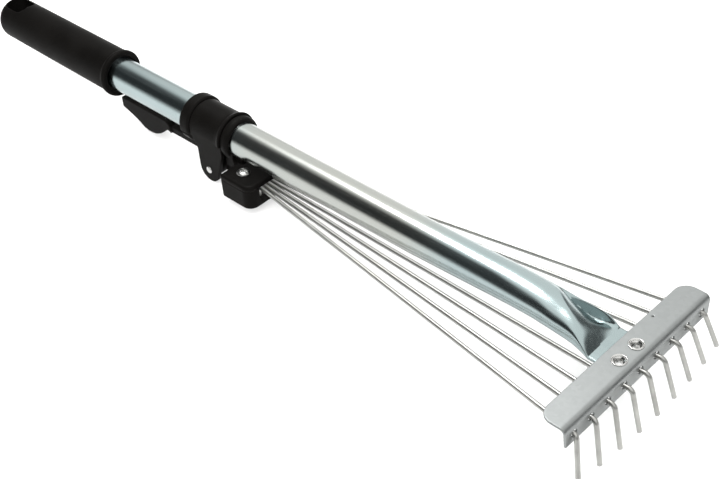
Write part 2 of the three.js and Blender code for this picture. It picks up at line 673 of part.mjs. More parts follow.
// The eccentric hub between the ears, the flat bar under the sleeve's rim, and the thumb paddle.
function camLever() {
  const hub = rodY(CAM_R, EAR_INNER_Y - FIT, PIN_X, PIN_Z + CAM_THROW, 36);
  const barBottom = LEVER_TOP_Z - LEVER_THICKNESS;
  const bar = outline([
    [PIN_X, LEVER_TOP_Z],
    [PADDLE_FRONT_X - 4, LEVER_TOP_Z],
    [PADDLE_FRONT_X - 4, barBottom],
    [PIN_X, barBottom],
  ]);
  const paddleTop = -TUBE_R - PADDLE_GAP;
  const paddle = new THREE.Shape();
  paddle.moveTo(PADDLE_FRONT_X, LEVER_TOP_Z);
  paddle.quadraticCurveTo(PADDLE_FRONT_X - 2, paddleTop, PADDLE_FRONT_X - 10, paddleTop);
  paddle.lineTo(PADDLE_REAR_X + 1, paddleTop);
  paddle.lineTo(PADDLE_REAR_X, paddleTop - 1);
  paddle.lineTo(PADDLE_REAR_X, barBottom + 0.6);
  paddle.splineThru(PADDLE_UNDERSIDE.map(([along, drop]) => new THREE.Vector2(PADDLE_REAR_X + along, barBottom - drop)));
  const bore = rodY(PIN_DIA / 2 + FIT, BEAD_DIA, PIN_X, PIN_Z, 20);
  return hub.add(prismY(bar, LEVER_WIDTH / 2)).add(prismY(paddle, PADDLE_WIDTH / 2, 10)).subtract(bore);
}

// ---- the rake ----

const group = new THREE.Group();

function place(name, manifold, material) {
  const mesh = new THREE.Mesh(toGeometry(manifold), material);
  mesh.name = name;
  group.add(mesh);
}

place('handle_tube', handleTube(), ZINC_TUBE);
place('grip', grip(), BLACK_PLASTIC);
place('comb_plate', combPlate(), GALVANISED);
const [leftEyelet, rightEyelet] = eyeletPlaces();
place('eyelet_left', eyelet(leftEyelet), BRIGHT);
place('eyelet_right', eyelet(rightEyelet), BRIGHT);
for (const spot of tinePlaces()) {
  place(`tine_${spot.number}`, tine(spot), WIRE);
}
place('slider_body', sliderBody(), BLACK_PLASTIC);
place('tine_block_base', tineBlockBase(), BLACK_PLASTIC);
place('clamp_band', clampBand(), BLACK_PLASTIC);
place('cam_lever', camLever(), BLACK_PLASTIC);
place('lever_pin', leverPin(), BRIGHT);
place('block_screw_left', blockScrew(-SCREW_Y), BRIGHT);
place('block_screw_right', blockScrew(SCREW_Y), BRIGHT);

const bounds = new THREE.Box3().setFromObject(group);
const middle = bounds.getCenter(new THREE.Vector3());
group.position.set(-middle.x, 0, -bounds.min.z);

export default group;
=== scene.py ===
import math

import bpy
from bpy.props import FloatProperty, FloatVectorProperty, PointerProperty
from mathutils import Euler, Matrix, Vector


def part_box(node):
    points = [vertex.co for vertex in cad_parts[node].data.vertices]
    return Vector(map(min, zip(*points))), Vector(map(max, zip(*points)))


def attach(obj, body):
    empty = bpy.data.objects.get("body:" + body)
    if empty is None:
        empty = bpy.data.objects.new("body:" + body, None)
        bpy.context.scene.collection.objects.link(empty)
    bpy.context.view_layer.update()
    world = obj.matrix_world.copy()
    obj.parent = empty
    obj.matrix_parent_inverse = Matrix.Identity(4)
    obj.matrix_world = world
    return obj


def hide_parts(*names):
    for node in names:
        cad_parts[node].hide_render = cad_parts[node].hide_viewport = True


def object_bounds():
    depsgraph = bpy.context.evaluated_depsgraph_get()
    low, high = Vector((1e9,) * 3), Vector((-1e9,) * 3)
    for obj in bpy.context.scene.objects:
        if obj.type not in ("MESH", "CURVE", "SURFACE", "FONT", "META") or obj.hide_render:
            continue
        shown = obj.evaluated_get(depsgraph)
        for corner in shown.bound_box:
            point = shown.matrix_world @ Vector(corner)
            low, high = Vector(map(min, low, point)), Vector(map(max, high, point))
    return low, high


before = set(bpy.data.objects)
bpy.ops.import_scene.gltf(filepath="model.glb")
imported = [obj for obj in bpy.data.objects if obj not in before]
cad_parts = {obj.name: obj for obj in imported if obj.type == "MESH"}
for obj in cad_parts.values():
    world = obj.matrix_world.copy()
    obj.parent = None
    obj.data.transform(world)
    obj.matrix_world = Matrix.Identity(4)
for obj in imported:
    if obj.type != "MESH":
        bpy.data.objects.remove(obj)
CAD_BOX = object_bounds()

bl_info = {
    "name": "Leaf Rake Maker",
    "version": (1, 0, 0),
    "blender": (4, 5, 0),
    "location": "3D View > Sidebar > Leaf Rake",
    "description": "Builds an adjustable hand leaf rake piece by piece around its CAD frame",
    "category": "Add Mesh",
}

# Outlines below are in millimetres from the middle of the handle tube at the comb's front face:
# x runs along the tube (the grip is at negative x), z is up.
MM = 0.001
PLATE_TOP = -2.35
COMB_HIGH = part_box("comb_plate")[1]
AXIS = Vector((COMB_HIGH.x, 0.0, COMB_HIGH.z - PLATE_TOP * MM))

# Handle tube and grip
TUBE_SIDES = 128
TUBE_WALL = 1.2
TUBE_REAR = -566.3
TUBE_SETBACK = 4.2  # from the comb's front face to the tube's flattened end
FLAT_TOP = -3.95
FLAT_BOTTOM = -6.35
STAINED = (-330.0, -150.0)  # the length of tube where the plating is warmer
GRIP_REAR = -598.3
GRIP_FRONT = -457.3
GRIP_END_R = 16.1
GRIP_NOSE = 10.0  # radius of the rounding at the grip's end
HANG_HOLE_X = (-592.3, -571.3)
HANG_HOLE_HALF = 8.25
HANG_HOLE_CORNER = 6.0

# Comb plate and its rivets
PLATE_SHEET = 1.5
PLATE_HALF = 68.65
PLATE_DEPTH = 19.0
PLATE_CORNER = 9.0
BEND_OUTER = 4.0  # radius of the outside of the bend
FLANGE_BOTTOM = -16.45
FLANGE_TAPER = 1.2  # each end of the flange leans in by this much
HOLE_DROP = 7.9
TINE_HOLE_R = 2.6
PILOT = (-15.3, 32.9)  # a small hole that held the blank while it was punched
PILOT_R = 0.6
EYELET_X = -9.3
EYELET_Y = 8.1
EYELET_HOLE_R = 3.8

# Tines
TINES = 9
COMB_PITCH = 15.1
ROOT = (-298.5, 3.33, -18.8)
WIRE_LOW = 0.3  # a wire lies this far below the centre of its hole
BEND_BEHIND = 1.2  # the outermost tines start to bend this far behind the comb's front face
TIP_TURN = 75  # degrees

# Slider, block, band and lever
GROOVE_R = 13.8
RIM_R = 17
BORE_R = 12.8
SLEEVE_REAR, SLEEVE_FRONT = -373.0, -324.7
GROOVE_REAR, GROOVE_FRONT = -363.6, -331.3
BLOCK_REAR, BLOCK_FRONT, BLOCK_HALF = -323.2, -293.9, 26.2
BLOCK_TOP, PARTING, BLOCK_BOTTOM = -13.2, -16.9, -31.8
BLOCK_CORNER, BLOCK_HEEL = 7.3, 2  # radii at the front and at the rear
NECK_REAR, NECK_HALF = -337, 9
EAR_OUTER, EAR_INNER = 15.5, 12.4
EAR_R = 9.4
CLEAR = 0.3  # between pieces that slide or stand side by side
LEVER_TOP, LEVER_BOTTOM, LEVER_HALF = -17.6, -23.1, 6.5
PADDLE_REAR, PADDLE_FRONT, PADDLE_TOP, PADDLE_HALF = -453, -398, -13.6, 8
CAM_R = 9.4
CAM_THROW = 4  # from the pin up to the middle of the cam
PIN = (-348.0, -27.5)
PIN_HOLE_R = 2.3
SCREW = (-311.0, 14.5)
SCREW_HOLE_R = 2.3
GRIP_STEP, SHEET_STEP = 0.0006, 0.0003  # the grids, in metres, that round the grip and the comb plate
BEYOND = 40  # past every outline, for a cutter that runs right through

# Looks and stage, in metres
CREASE = math.radians(44)  # faces that turn by more than this are shaded apart
STAIN_TINT = (1.28, 1.03, 0.92)  # what the stain does to the red, green and blue of the plating
MIX_A, MIX_B, MIX_RESULT = 6, 7, 2  # the colour sockets of a Mix node
BRIGHT_WAY = (0.654, 0.516, 0.551)  # towards the middle of the bright half of the room
ROOM_DIM = (0.035, 0.037, 0.038, 1)
ROOM_BRIGHT = (1.0, 1.0, 0.98, 1)
BACKDROP = (0.66, 0.66, 0.66, 1)  # the room as the camera sees it directly
FLOOR_HALF = 4
FLOOR_GAP = 0.0005  # between the floor and the lowest point of the rake

# The pressing of the tube's front end: x, half width, top, bottom, corner roundness, then the dent in
# its top, which slopes from a ridge on the left down to a valley along the right: ridge y, valley y, depth.
PRESSING = (
    (-165.0, 12.5, 12.5, -12.5, 1.0, 7.0, 8.0, 0.0),
    (-132.0, 12.5, 12.6, -11.2, 1.0, 7.0, 8.0, 0.0),
    (-108.0, 12.6, 12.8, -10.0, 1.0, 7.0, 8.0, 0.0),
    (-90.0, 12.8, 13.0, -9.0, 1.0, 7.0, 8.0, 0.0),
    (-70.0, 12.8, 12.2, -8.3, 0.95, 6.5, 8.2, 0.0),
    (-61.0, 13.0, 11.4, -8.1, 0.85, 5.0, 9.0, 1.8),
    (-52.0, 13.4, 10.2, -7.8, 0.8, -1.0, 10.0, 6.4),
    (-40.0, 13.9, 8.4, -7.1, 0.6, -8.0, 11.4, 10.2),
    (-32.0, 14.9, 4.6, -6.6, 0.5, -12.5, 12.4, 7.0),
    (-25.0, 15.75, FLAT_TOP, FLAT_BOTTOM, 0.4, -15.0, 14.0, 0.0),
)


# ---- properties ----

class RakeSizes(bpy.types.PropertyGroup):
    wire_diameter: FloatProperty(
        name="Tine wire", description="Diameter of the spring wire", default=0.003, unit="LENGTH")
    bend_radius: FloatProperty(
        name="Tip bend", description="Radius of each tine's bend, to the wire's middle",
        default=0.0037, unit="LENGTH")
    tip_length: FloatProperty(
        name="Tip length", description="Straight length of wire after the bend",
        default=0.0249, unit="LENGTH")
    toe_angle: FloatProperty(
        name="Toe angle", description="Outward lean of the outermost tips",
        default=math.radians(11), subtype="ANGLE")
    grip_diameter: FloatProperty(
        name="Grip", description="Diameter of the grip in front of its nose", default=0.0331, unit="LENGTH")
    collar_diameter: FloatProperty(
        name="Collar", description="Diameter of the collar at the grip's mouth",
        default=0.0356, unit="LENGTH")
    screw_head: FloatProperty(
        name="Screw head", description="Diameter of the tine block's screw heads",
        default=0.0096, unit="LENGTH")
    mould_step: FloatProperty(
        name="Mould step", description="Grid step that the moulded parts are rounded on",
        default=0.00045, unit="LENGTH")


class RakeFinishes(bpy.types.PropertyGroup):
    zinc: FloatVectorProperty(
        name="Zinc", description="Zinc plating of the handle tube", size=3, subtype="COLOR",
        default=(0.306, 0.366, 0.372), min=0, max=1)
    galvanised: FloatVectorProperty(
        name="Galvanised", description="Sheet steel of the comb", size=3, subtype="COLOR",
        default=(0.27, 0.282, 0.282), min=0, max=1)
    wire: FloatVectorProperty(
        name="Wire", description="Drawn spring wire", size=3, subtype="COLOR",
        default=(0.385, 0.385, 0.37), min=0, max=1)
    bright: FloatVectorProperty(
        name="Bright", description="Rivets, screws and pin", size=3, subtype="COLOR",
        default=(0.52, 0.52, 0.51), min=0, max=1)
    plastic: FloatVectorProperty(
        name="Plastic", description="Black moulded parts", size=3, subtype="COLOR",
        default=(0.0050, 0.0046, 0.0042), min=0, max=1)


class RakeStage(bpy.types.PropertyGroup):
    camera_place: FloatVectorProperty(
        name="Camera place", description="Camera position from the comb end of the handle",
        size=3, subtype="TRANSLATION", unit="LENGTH", default=(0.2766, -0.4604, 0.5322))
    camera_turn: FloatVectorProperty(
        name="Camera turn", description="Camera rotation", size=3, subtype="EULER",
        default=(math.radians(50.022), math.radians(3.848), math.radians(43.787)))
    lens: FloatProperty(name="Lens", description="Focal length in millimetres", default=67.41, min=1)
    floor_colour: FloatVectorProperty(
        name="Floor", description="Colour of the floor", size=3, subtype="COLOR",
        default=(0.93, 0.93, 0.93), min=0, max=1)
    sky_strength: FloatProperty(
        name="Surround", description="Brightness of the soft surround", default=1.5, min=0)


# ---- solids ----

def keep(name, points, faces):
    mesh = bpy.data.meshes.new(name)
    mesh.from_pydata([AXIS + Vector(p) * MM for p in points], [], faces)
    mesh.validate()
    piece = bpy.data.objects.new(name, mesh)
    bpy.context.scene.collection.objects.link(piece)
    return face_outwards(piece)


def volume_of(mesh):
    mesh.calc_loop_triangles()
    total = 0.0
    for t in mesh.loop_triangles:
        a, b, c = (mesh.vertices[i].co - AXIS for i in t.vertices)
        total += a.dot(b.cross(c))
    return total


def face_outwards(piece):
    if volume_of(piece.data) < 0:
        piece.data.flip_normals()
    return piece


def skinned(name, rings, looped=False):
    """A skin over rings of points. Its ends are closed, or joined to each other when looped."""
    count = len(rings[0])
    faces = []
    spans = len(rings) if looped else len(rings) - 1
    for r in range(spans):
        here, there = r * count, ((r + 1) % len(rings)) * count
        for i in range(count):
            j = (i + 1) % count
            faces.append((here + i, here + j, there + j, there + i))
    if not looped:
        faces.append(tuple(reversed(range(count))))
        faces.append(tuple(range((len(rings) - 1) * count, len(rings) * count)))
    return keep(name, [p for ring in rings for p in ring], faces)


def turned(name, profile, along="X", centre=(0, 0, 0), sides=96, looped=False):
    """A profile of (place along the axis, radius) pairs, turned about the X, Y or Z axis through centre."""
    cx, cy, cz = centre
    rings = []
    for place, radius in profile:
        ring = []
        for i in range(sides):
            a = math.tau * i / sides
            u, v = radius * math.cos(a), radius * math.sin(a)
            ring.append({
                "X": (cx + place, cy + u, cz + v),
                "Y": (cx + u, cy + place, cz + v),
                "Z": (cx + u, cy + v, cz + place),
            }[along])
        rings.append(ring)
    return skinned(name, rings, looped)


def prism(name, outline, along, low, high):
    """An outline carried from low to high. It is in (y, z) along X, (x, z) along Y and (x, y) along Z."""
    def lift(u, v, w):
        return {"X": (w, u, v), "Y": (u, w, v), "Z": (u, v, w)}[along]
    return skinned(name, [[lift(u, v, w) for u, v in outline] for w in (low, high)])


def block(name, x, y, z):
    return prism(name, [(x[0], y[0]), (x[1], y[0]), (x[1], y[1]), (x[0], y[1])], "Z", *z)


def arc(cx, cy, radius, start, end, steps=12):
    turn = [math.radians(start + (end - start) * i / steps) for i in range(steps + 1)]
    return [(cx + radius * math.cos(a), cy + radius * math.sin(a)) for a in turn]


def rounded(x, y, front, rear):
    """A rectangle with its corners rounded by front at high x, and by rear at low x."""
    return (arc(x[1] - front, y[1] - front, front, 0, 90)
            + arc(x[0] + rear, y[1] - rear, rear, 90, 180)
            + arc(x[0] + rear, y[0] + rear, rear, 180, 270)
            + arc(x[1] - front, y[0] + front, front, 270, 360))


def smooth_curve(points, steps=6):
    """A curve through points, with steps pieces between each two."""
    line = []
    for i in range(len(points) - 1):
        p = [Vector(points[max(0, min(len(points) - 1, i + k))]) for k in (-1, 0, 1, 2)]
        for s in range(steps):
            t = s / steps
            line.append(0.5 * ((2 * p[1]) + (p[2] - p[0]) * t
                               + (2 * p[0] - 5 * p[1] + 4 * p[2] - p[3]) * t ** 2
                               + (3 * p[1] - p[0] - 3 * p[2] + p[3]) * t ** 3))
    line.append(Vector(points[-1]))
    return line


def settle(piece):
    """Makes the modifiers part of the mesh."""
    bpy.context.view_layer.update()
    shape = piece.evaluated_get(bpy.context.evaluated_depsgraph_get())
    mesh = bpy.data.meshes.new_from_object(shape)
    old = piece.data
    piece.modifiers.clear()
    piece.data = mesh
    bpy.data.meshes.remove(old)
    mesh.name = piece.name


def combine(base, others, operation):
    for other in others:
        step = base.modifiers.new("combine", "BOOLEAN")
        step.operation = operation
        step.solver = "MANIFOLD"
        step.object = other
    settle(base)
    for other in others:
        bpy.data.objects.remove(other, do_unlink=True)
    return base


def moulded(piece, step, passes=4):
    """Rounds the edges of a solid as a mould or a press leaves them."""
    grid = piece.modifiers.new("grid", "REMESH")
    grid.mode = "VOXEL"
    grid.voxel_size = step
    ease = piece.modifiers.new("ease", "SMOOTH")
    ease.factor = 0.5
    ease.iterations = passes
    settle(piece)
    return piece


def hand_over(piece, body, node, material):
    for face in piece.data.polygons:
        face.use_smooth = True
    piece.data.set_sharp_from_angle(angle=CREASE)
    piece.data.materials.clear()
    piece.data.materials.append(material)
    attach(piece, body)
    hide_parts(node)
    return piece


# ---- shared shader effects ----

def new_group(name, inputs, outputs):
    group = bpy.data.node_groups.get(name)
    if group:
        return group, None, None
    group = bpy.data.node_groups.new(name, "ShaderNodeTree")
    for label, value in inputs:
        group.interface.new_socket(label, in_out="INPUT", socket_type="NodeSocketFloat").default_value = value
    for label in outputs:
        group.interface.new_socket(label, in_out="OUTPUT", socket_type="NodeSocketFloat")
    return group, group.nodes.new("NodeGroupInput"), group.nodes.new("NodeGroupOutput")


def noise_in(group, scale, detail, stretch=None):
    """Object-space noise. stretch is a scale for each axis."""
    place = group.nodes.new("ShaderNodeTexCoord")
    noise = group.nodes.new("ShaderNodeTexNoise")
    noise.inputs["Detail"].default_value = detail
    source = place.outputs["Object"]
    if stretch:
        mapping = group.nodes.new("ShaderNodeMapping")
        mapping.inputs["Scale"].default_value = stretch
        group.links.new(source, mapping.inputs["Vector"])
        source = mapping.outputs["Vector"]
    group.links.new(source, noise.inputs["Vector"])
    if isinstance(scale, (int, float)):
        noise.inputs["Scale"].default_value = scale
    else:
        group.links.new(scale, noise.inputs["Scale"])
    return noise.outputs["Fac"]


def math_in(group, operation, a, b):
    node = group.nodes.new("ShaderNodeMath")
    node.operation = operation
    for socket, value in zip(node.inputs, (a, b)):
        if isinstance(value, (int, float)):
            socket.default_value = value
        else:
            group.links.new(value, socket)
    return node.outputs["Value"]


def drawn_streaks():
    """Fine lines along the tube or wire, as drawing through a die leaves them, and cloudy plating."""
    group, start, end = new_group("Drawn streaks", [("Line Scale", 900.0), ("Cloud Scale", 60.0)],
                                  ["Lines", "Clouds"])
    if start:
        group.links.new(noise_in(group, start.outputs["Line Scale"], 3, (0.02, 1, 1)), end.inputs["Lines"])
        group.links.new(noise_in(group, start.outputs["Cloud Scale"], 5, (0.35, 1, 1)), end.inputs["Clouds"])
    return group


def fine_grain():
    """An even grain with slow patches, for moulded plastic and rolled sheet."""
    group, start, end = new_group("Fine grain", [("Grain Scale", 2200.0), ("Patch Scale", 45.0)],
                                  ["Grain", "Patches"])
    if start:
        group.links.new(noise_in(group, start.outputs["Grain Scale"], 2), end.inputs["Grain"])
        group.links.new(noise_in(group, start.outputs["Patch Scale"], 4), end.inputs["Patches"])
    return group


def edge_wear_and_sheen():
    """A mask of rubbed edges, broken up by noise."""
    group, start, end = new_group("Edge wear", [("Amount", 0.5), ("Break Up", 350.0)], ["Mask"])
    if start:
        shape = group.nodes.new("ShaderNodeNewGeometry")
        ramp = group.nodes.new("ShaderNodeMapRange")
        ramp.inputs["From Min"].default_value = 0.52
        ramp.inputs["From Max"].default_value = 0.62
        group.links.new(shape.outputs["Pointiness"], ramp.inputs["Value"])
        broken = math_in(group, "MULTIPLY", ramp.outputs["Result"],
                         noise_in(group, start.outputs["Break Up"], 4))
        group.links.new(math_in(group, "MULTIPLY", broken, start.outputs["Amount"]), end.inputs["Mask"])
    return group


def spangle():
    """The crystal pattern of hot-dip zinc, as a value for each crystal."""
    group, start, end = new_group("Zinc spangle", [("Crystal Scale", 260.0)], ["Crystal"])
    if start:
        place = group.nodes.new("ShaderNodeTexCoord")
        cells = group.nodes.new("ShaderNodeTexVoronoi")
        group.links.new(place.outputs["Object"], cells.inputs["Vector"])
        group.links.new(start.outputs["Crystal Scale"], cells.inputs["Scale"])
        group.links.new(cells.outputs["Color"], end.inputs["Crystal"])
    return group


# ---- finishes ----

class Finish:
    """A material being wired: its Principled shader and the groups that feed it."""

    def __init__(self, name, metallic, specular=0.5):
        self.material = bpy.data.materials.new(name)
        self.material.use_nodes = True
        self.tree = self.material.node_tree
        self.shader = self.tree.nodes["Principled BSDF"]
        self.shader.inputs["Metallic"].default_value = metallic
        self.shader.inputs["Specular IOR Level"].default_value = specular

    def effect(self, group, **values):
        node = self.tree.nodes.new("ShaderNodeGroup")
        node.node_tree = group
        for label, value in values.items():
            node.inputs[label.replace("_", " ")].default_value = value
        return node.outputs

    def spread(self, value, low, high):
        """value, which noise keeps near the middle, spread from low to high."""
        node = self.tree.nodes.new("ShaderNodeMapRange")
        node.inputs["From Min"].default_value = 0.3
        node.inputs["From Max"].default_value = 0.7
        node.inputs["To Min"].default_value = low
        node.inputs["To Max"].default_value = high
        self.tree.links.new(value, node.inputs["Value"])
        return node.outputs["Result"]

    def mix(self, factor, a, b):
        node = self.tree.nodes.new("ShaderNodeMix")
        node.data_type = "RGBA"
        self.tree.links.new(factor, node.inputs["Factor"])
        for socket, value in ((node.inputs[MIX_A], a), (node.inputs[MIX_B], b)):
            if isinstance(value, bpy.types.NodeSocket):
                self.tree.links.new(value, socket)
            else:
                socket.default_value = (*value, 1)
        return node.outputs[MIX_RESULT]

    def stretch_along(self, start, end, fade=0.03):
        """A mask of one length of the piece, from start to end along x, with ends that fade."""
        place = self.tree.nodes.new("ShaderNodeTexCoord")
        parts = self.tree.nodes.new("ShaderNodeSeparateXYZ")
        self.tree.links.new(place.outputs["Object"], parts.inputs["Vector"])
        sides = []
        for edge, rise in ((start, 1.0), (end, -1.0)):
            node = self.tree.nodes.new("ShaderNodeMapRange")
            node.interpolation_type = "SMOOTHSTEP"
            node.inputs["From Min"].default_value = AXIS.x + edge * MM - fade * rise
            node.inputs["From Max"].default_value = AXIS.x + edge * MM + fade * rise
            self.tree.links.new(parts.outputs["X"], node.inputs["Value"])
            sides.append(node.outputs["Result"])
        return math_in(self.tree, "MULTIPLY", *sides)

    def feed(self, label, value):
        self.tree.links.new(value, self.shader.inputs[label])

    def bump(self, height, strength, distance):
        node = self.tree.nodes.new("ShaderNodeBump")
        node.inputs["Strength"].default_value = strength
        node.inputs["Distance"].default_value = distance
        self.tree.links.new(height, node.inputs["Height"])
        self.tree.links.new(node.outputs["Normal"], self.shader.inputs["Normal"])


def shade(colour, factor):
    return tuple(min(1.0, c * factor) for c in colour)


def zinc_tube(colour):
    made = Finish("Bright zinc plating", 1.0)
    streaks = made.effect(drawn_streaks(), Line_Scale=700.0, Cloud_Scale=38.0)
    clouds = made.spread(streaks["Clouds"], 0.0, 1.0)
    tint = made.mix(clouds, shade(colour, 0.94), shade(colour, 1.06))
    warm = tuple(part * change for part, change in zip(colour, STAIN_TINT))
    passivation = made.effect(drawn_streaks(), Line_Scale=500.0, Cloud_Scale=9.0)
    stain = made.spread(passivation["Clouds"], 0.3, 1.0)
    stain = math_in(made.tree, "MULTIPLY", stain, made.stretch_along(*STAINED))
    made.feed("Base Color", made.mix(stain, tint, warm))
    made.feed("Roughness", made.spread(streaks["Lines"], 0.16, 0.26))
    made.bump(streaks["Lines"], 0.25, 0.00004)
    return made.material


def galvanised_sheet(colour):
    made = Finish("Galvanised sheet", 1.0)
    crystals = made.effect(spangle(), Crystal_Scale=420.0)
    grain = made.effect(fine_grain(), Grain_Scale=1300.0, Patch_Scale=60.0)
    wear_and_sheen = made.effect(edge_wear_and_sheen(), Amount=0.8, Break_Up=300.0)
    dull = made.mix(crystals["Crystal"], shade(colour, 0.95), shade(colour, 1.05))
    patched = made.mix(made.spread(grain["Patches"], 0.0, 0.5), dull, shade(colour, 0.88))
    made.feed("Base Color", made.mix(wear_and_sheen["Mask"], patched, shade(colour, 1.35)))
    made.feed("Roughness", made.spread(grain["Patches"], 0.36, 0.5))
    made.bump(grain["Grain"], 0.22, 0.00008)
    return made.material


def spring_wire(colour):
    made = Finish("Drawn spring wire", 1.0)
    streaks = made.effect(drawn_streaks(), Line_Scale=1600.0, Cloud_Scale=90.0)
    grain = made.effect(fine_grain(), Grain_Scale=2600.0, Patch_Scale=140.0)
    clouds = made.spread(streaks["Clouds"], 0.0, 1.0)
    made.feed("Base Color", made.mix(clouds, shade(colour, 0.85), shade(colour, 1.12)))
    made.feed("Roughness", made.spread(grain["Patches"], 0.34, 0.48))
    made.bump(streaks["Lines"], 0.2, 0.00005)
    return made.material


def bright_hardware(colour):
    made = Finish("Bright turned steel", 1.0)
    grain = made.effect(fine_grain(), Grain_Scale=2500.0, Patch_Scale=400.0)
    wear_and_sheen = made.effect(edge_wear_and_sheen(), Amount=0.6, Break_Up=600.0)
    base = made.mix(made.spread(grain["Patches"], 0.0, 1.0), shade(colour, 0.88), shade(colour, 1.08))
    made.feed("Base Color", made.mix(wear_and_sheen["Mask"], base, shade(colour, 1.25)))
    made.feed("Roughness", made.spread(grain["Grain"], 0.16, 0.3))
    made.bump(grain["Grain"], 0.15, 0.00005)
    return made.material


def black_plastic(name, colour, low, high, scale):
    made = Finish(name, 0.0, 0.03)
    grain = made.effect(fine_grain(), Grain_Scale=scale, Patch_Scale=42.0)
    wear_and_sheen = made.effect(edge_wear_and_sheen(), Amount=0.55, Break_Up=420.0)
    base = made.mix(made.spread(grain["Patches"], 0.0, 1.0), shade(colour, 0.8), shade(colour, 1.3))
    # Lighter edges: a painted highlight along the rims of the moulding, put in through the edge mask.
    made.feed("Base Color", made.mix(wear_and_sheen["Mask"], base, shade(colour, 7.0)))
    made.feed("Roughness", made.spread(grain["Patches"], low, high))
    made.bump(grain["Grain"], 0.3, 0.00006)
    return made.material


def finish_for(context, slot, name=None):
    """The material for a slot of the record, made once."""
    colours = context.scene.rake_finishes
    makers = {
        "zinc_tube": lambda: zinc_tube(colours.zinc),
        "galvanised_sheet": lambda: galvanised_sheet(colours.galvanised),
        "spring_wire": lambda: spring_wire(colours.wire),
        "bright_rivet": lambda: bright_hardware(colours.bright),
        "black_plastic": lambda: black_plastic("Black moulded plastic", colours.plastic,
                                               low=0.36, high=0.5, scale=2400.0),
        "black_grip": lambda: black_plastic("Black grip plastic", colours.plastic,
                                            low=0.42, high=0.58, scale=1500.0),
    }
    label = "rake_" + (name or slot)
    material = bpy.data.materials.get(label)
    if material is None:
        material = makers[name or slot]()
        material.name = label
    return material


# ---- handle and grip ----

def dent_at(y, half, ridge, valley, depth):
    if y <= ridge or depth <= 0:
        return 0.0
    if y <= valley:
        return depth * ((y - ridge) / (valley - ridge)) ** 1.3
    return depth * max(0.0, (half - y) / (half - valley)) ** 2


def pressed_ring(row, inset):
    x, half, top, bottom, corner, ridge, valley, depth = row
    outer = half
    half, top, bottom = half - inset, top - inset, bottom + inset
    least = 2 * (TUBE_WALL - inset) + 0.1
    ring = []
    for i in range(TUBE_SIDES):
        a = math.tau * i / TUBE_SIDES
        up = math.sin(a)
        reach = math.copysign(abs(up) ** corner, up) * (top - bottom) / 2
        y = half * math.cos(a)
        room = max(0.0, 2 * reach - least)
        dent = min(dent_at(y, outer, ridge, valley, depth), room) if up > 0 else 0.0
        ring.append((x, y, (top + bottom) / 2 + reach - dent))
    return ring


def pressed_rows():
    """The rows of the pressing, eased so that the tube's surface has no facets along its length."""
    rows = smooth_curve([Vector(row) for row in PRESSING], 7)
    return [tuple(row) for row in rows]


def rivet_holes(low, high, sides):
    return [turned("hole", [(low, EYELET_HOLE_R), (high, EYELET_HOLE_R)], "Z",
                   (EYELET_X, side * EYELET_Y, 0), sides) for side in (-1, 1)]


def steel_handle(context):
    rows = pressed_rows()
    rear = (TUBE_REAR, *PRESSING[0][1:])
    tip = (-TUBE_SETBACK, *PRESSING[-1][1:])
    last = PRESSING[-2]
    closing = (last[0] + 2, last[1] - 2, last[3] + 2 * TUBE_WALL + 0.6, last[3], 1.0, 0.0, 1.0, 0.0)
    handle = skinned("steel_handle", [pressed_ring(row, 0) for row in (rear, *rows, tip)])
    hollow_rows = [row for row in rows if row[0] <= last[0]]
    core_rear = (TUBE_REAR - 1, *PRESSING[0][1:])
    core = skinned("core", [pressed_ring(row, TUBE_WALL) for row in (core_rear, *hollow_rows, closing)])
    combine(handle, [core, *rivet_holes(FLAT_BOTTOM - 2, FLAT_TOP + 2, 48)], "DIFFERENCE")
    hand_over(handle, "frame", "handle_tube", finish_for(context, "zinc_tube"))


def hand_grip(context):
    sizes = context.scene.rake_sizes
    front = sizes.grip_diameter / 2 / MM
    collar = sizes.collar_diameter / 2 / MM
    nose = [(GRIP_REAR + GRIP_NOSE * (1 - math.cos(a)), GRIP_END_R - GRIP_NOSE * (1 - math.sin(a)))
            for a in (math.radians(90 * i / 10) for i in range(11))]
    profile = [*nose, (GRIP_FRONT - 5, front), (GRIP_FRONT - 4.2, collar - 0.7), (GRIP_FRONT - 3.4, collar),
               (GRIP_FRONT - 1.2, collar), (GRIP_FRONT, collar - 1.2)]
    grip = turned("hand_grip", profile)
    mouth = turned("mouth", [(TUBE_REAR - CLEAR, BORE_R), (GRIP_FRONT - 1.4, BORE_R),
                             (GRIP_FRONT + 1, BORE_R + 1.6)])
    hole = rounded(HANG_HOLE_X, (-HANG_HOLE_HALF, HANG_HOLE_HALF), HANG_HOLE_CORNER, HANG_HOLE_CORNER)
    combine(grip, [mouth, prism("hole", hole, "Z", -30, 30)], "DIFFERENCE")
    moulded(grip, GRIP_STEP, 5)
    hand_over(grip, "frame", "grip", finish_for(context, "black_plastic", "black_grip"))


# ---- comb ----

